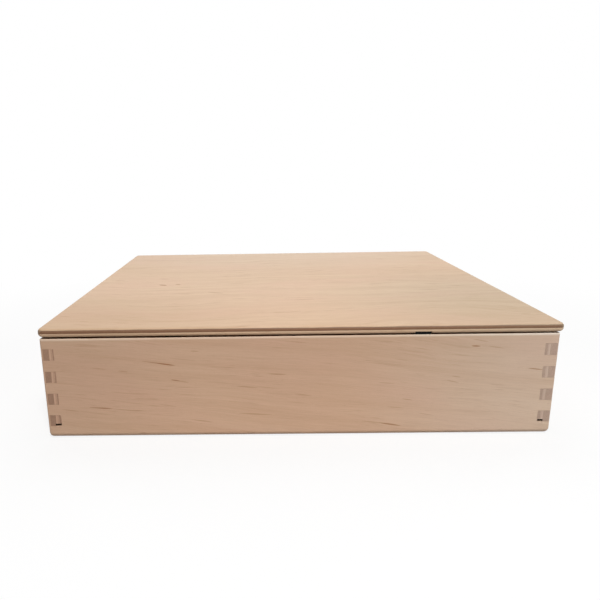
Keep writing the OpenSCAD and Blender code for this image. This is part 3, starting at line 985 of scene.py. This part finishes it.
def woodScrew(x, headZ, way, length):  # way is 1 for a head that looks up
    shank, sides = screw["shankRadius"], screw["sides"]
    under = headZ - way * screw["headHigh"]
    tipStart = headZ - way * (length - shank)
    piece = addRod("screw", (x, screwY, under), (x, screwY, headZ), shank, screw["headRadius"], sides)
    combine(piece, [addRod("shank", (x, screwY, tipStart), (x, screwY, under + way * screw["shankInHead"]),
                           shank, sides=sides)], "UNION")
    combine(piece, [addRod("tip", (x, screwY, tipStart - way * shank),
                           (x, screwY, tipStart + way * screw["tipInShank"]),
                           screw["tipRadius"], shank, sides)], "UNION")
    long, wide = screw["recessLong"] / 2, screw["recessWide"] / 2
    z0, z1 = sorted((headZ - way * screw["recessDeep"], headZ + way * past))
    cut(piece, [addBlock("slot", (x - halfX, screwY - halfY, z0), (x + halfX, screwY + halfY, z1))
                for halfX, halfY in ((long, wide), (wide, long))])
    return piece


def screwRow(name, side, headZ, way, length):
    made = [woodScrew(x, headZ, way, length) for x in screwPlaces(side)]
    pick(made[0])
    for other in made[1:]:
        other.select_set(True)
    bpy.ops.object.join()
    piece = bpy.context.active_object
    piece.name = name
    soften(piece, screw["softEdge"])
    return piece


for side in ("left", "right"):
    complete(hingeLeaf(side + "_leaf_on_box", side, boxLeafLow, 0), "box",
             [side + "_hinge_box_leaf"], leafMetal)
    complete(hingeLeaf(side + "_leaf_on_lid", side, lidLeafLow, 1), "lid",
             [side + "_hinge_lid_leaf"], leafMetal)
    x0, x1 = hingeSpan(side)
    pin = addRod(side + "_pin", (x0, pinY, pinZ), (x1, pinY, pinZ), pinRadius, sides=hinge["pinSides"])
    soften(pin, hinge["pinEdge"], hinge["pinSegments"])
    complete(pin, "box", [side + "_hinge_pin"], pinMetal)
    boxHead = boxLeafLow + hinge["leafThick"] - screw["sink"]
    complete(screwRow(side + "_screws_in_box", side, boxHead, 1, screw["boxLength"]), "box",
             [side + "_hinge_box_screws"], screwMetal)
    lidHead = lidLeafLow + screw["sink"]
    complete(screwRow(side + "_screws_in_lid", side, lidHead, -1, screw["lidLength"]), "lid",
             [side + "_hinge_lid_screws"], screwMetal)

    # the pad is squeezed where the lid hangs down
    padLow, padHigh = boxOf(side + "_bumper")
    pad = addBlock(side + "_rubber_pad", padLow, padHigh)
    soften(pad, bumper["edge"], bumper["edgeSegments"])
    middle = (padLow + padHigh) / 2
    squeeze = lidDrop(middle.x, middle.y)
    for point in pad.data.vertices:
        point.co.z -= squeeze * (point.co.z - padLow.z) / (padHigh.z - padLow.z)
    complete(pad, "lid", [side + "_bumper"], rubber)
print("hinges and pads done")


# floor, light and camera, in metres

studio = {
    "floorWide": 12,
    "floorBelow": 0.0001,       # keeps the floor clear of the walls' lower edges
    "floorTone": 0.32,          # what the object sees
    "floorWhite": (0.75, 1.0),  # share of plain white that the camera sees, close by and far off
    "floorReach": (0.20, 0.60),  # where these two are, in metres from the middle
    "worldLight": 0.27,         # from above, and none from near the horizon
    "worldFrom": (0.20, 0.70),
    "aim": (0, 0, 0.04),        # where all lamps point
    "lamps": [                  # white, and mirrored by shiny surfaces, unless they say otherwise
        {"name": "overhead", "at": (-0.02, 0.45, 0.85), "size": 0.8, "power": 2.6},
        {"name": "window", "at": (0.20, -1.18, 1.26), "size": 0.32, "power": 18.5},
        {"name": "lowRight", "at": (0.80, -0.70, 0.10), "size": 0.3, "power": 0.7, "tint": (0.85, 0.96, 1.0)},
        {"name": "behindLeft", "at": (-1.15, 0.95, 0.16), "size": 0.6, "power": 6.0, "mirrored": False},
        {"name": "behindRight", "at": (1.15, 0.95, 0.16), "size": 0.6, "power": 6.0, "mirrored": False},
    ],
}


def seenDirectly(tree):
    rays = addNode(tree, "LightPath", {}).outputs
    seen = calc(tree, "MAXIMUM", rays["Is Camera Ray"], rays["Is Glossy Ray"])
    return calc(tree, "MAXIMUM", seen, rays["Is Transmission Ray"])


def mixShaders(tree, share, a, b):
    return addNode(tree, "MixShader", {0: share, 1: a, 2: b}).outputs[0]


def plainShader(tree, kind, colour):
    return addNode(tree, kind, {"Color": colour}).outputs[0]


bpy.ops.object.select_all(action="DESELECT")
bpy.ops.mesh.primitive_plane_add(size=studio["floorWide"], location=(0, 0, -studio["floorBelow"]))
floor = justAdded("floor")
floorPaper, tree = startMaterial("floorPaper")
distance = vectorCalc(tree, "LENGTH", coordinates(tree, "Object"))
lit = plainShader(tree, "BsdfDiffuse", (studio["floorTone"],) * 3 + (1,))
shaded = plainShader(tree, "BsdfDiffuse", white)
shining = plainShader(tree, "Emission", white)
whiteShare = fade(tree, distance, *studio["floorReach"], *studio["floorWhite"])
shown = mixShaders(tree, whiteShare, shaded, shining)
addNode(tree, "OutputMaterial", {"Surface": mixShaders(tree, seenDirectly(tree), lit, shown)})
floor.data.materials.append(floorPaper)

world = bpy.data.worlds.new("studio")
bpy.context.scene.world = world
world.use_nodes = True
tree = world.node_tree
tree.nodes.clear()
skyHeight = parted(tree, coordinates(tree, "Generated"))[2]
fromAbove = fade(tree, skyHeight, *studio["worldFrom"], 0.0, studio["worldLight"])
sky = addNode(tree, "Background", {
    "Color": white, "Strength": blendValues(tree, seenDirectly(tree), fromAbove, 1.0)})
addNode(tree, "OutputWorld", {"Surface": sky.outputs[0]})

for lamp in studio["lamps"]:
    bpy.ops.object.light_add(type="AREA", location=lamp["at"])
    light = bpy.context.active_object
    light.name = lamp["name"]
    light.data.shape = "DISK"
    light.data.size = lamp["size"]
    light.data.energy = lamp["power"]
    light.data.color = lamp.get("tint", (1.0, 1.0, 1.0))
    light.visible_glossy = lamp.get("mirrored", True)
    towards = Vector(studio["aim"]) - Vector(lamp["at"])
    light.rotation_euler = towards.to_track_quat("-Z", "Y").to_euler()

photo = {
    "at": (-0.02409, -0.57319, 0.18355),
    "turned": (74.313, 0.977, 0.877),       # degrees
    "focalPixels": 613.47,
    "pictureWide": 600,
    "sensor": 36.0,
    "shift": (0.0834, 0.0622),
    "nearest": 0.01,
}
bpy.ops.object.camera_add(location=photo["at"], rotation=[math.radians(a) for a in photo["turned"]])
camera = bpy.context.active_object
camera.name = "photoCamera"
camera.data.sensor_width = photo["sensor"]
camera.data.lens = photo["focalPixels"] / photo["pictureWide"] * photo["sensor"]
camera.data.shift_x, camera.data.shift_y = photo["shift"]
camera.data.clip_start = photo["nearest"]
bpy.context.scene.camera = camera
bpy.context.scene.view_settings.view_transform = "Standard"
print("studio ready")

bpy.context.view_layer.update()
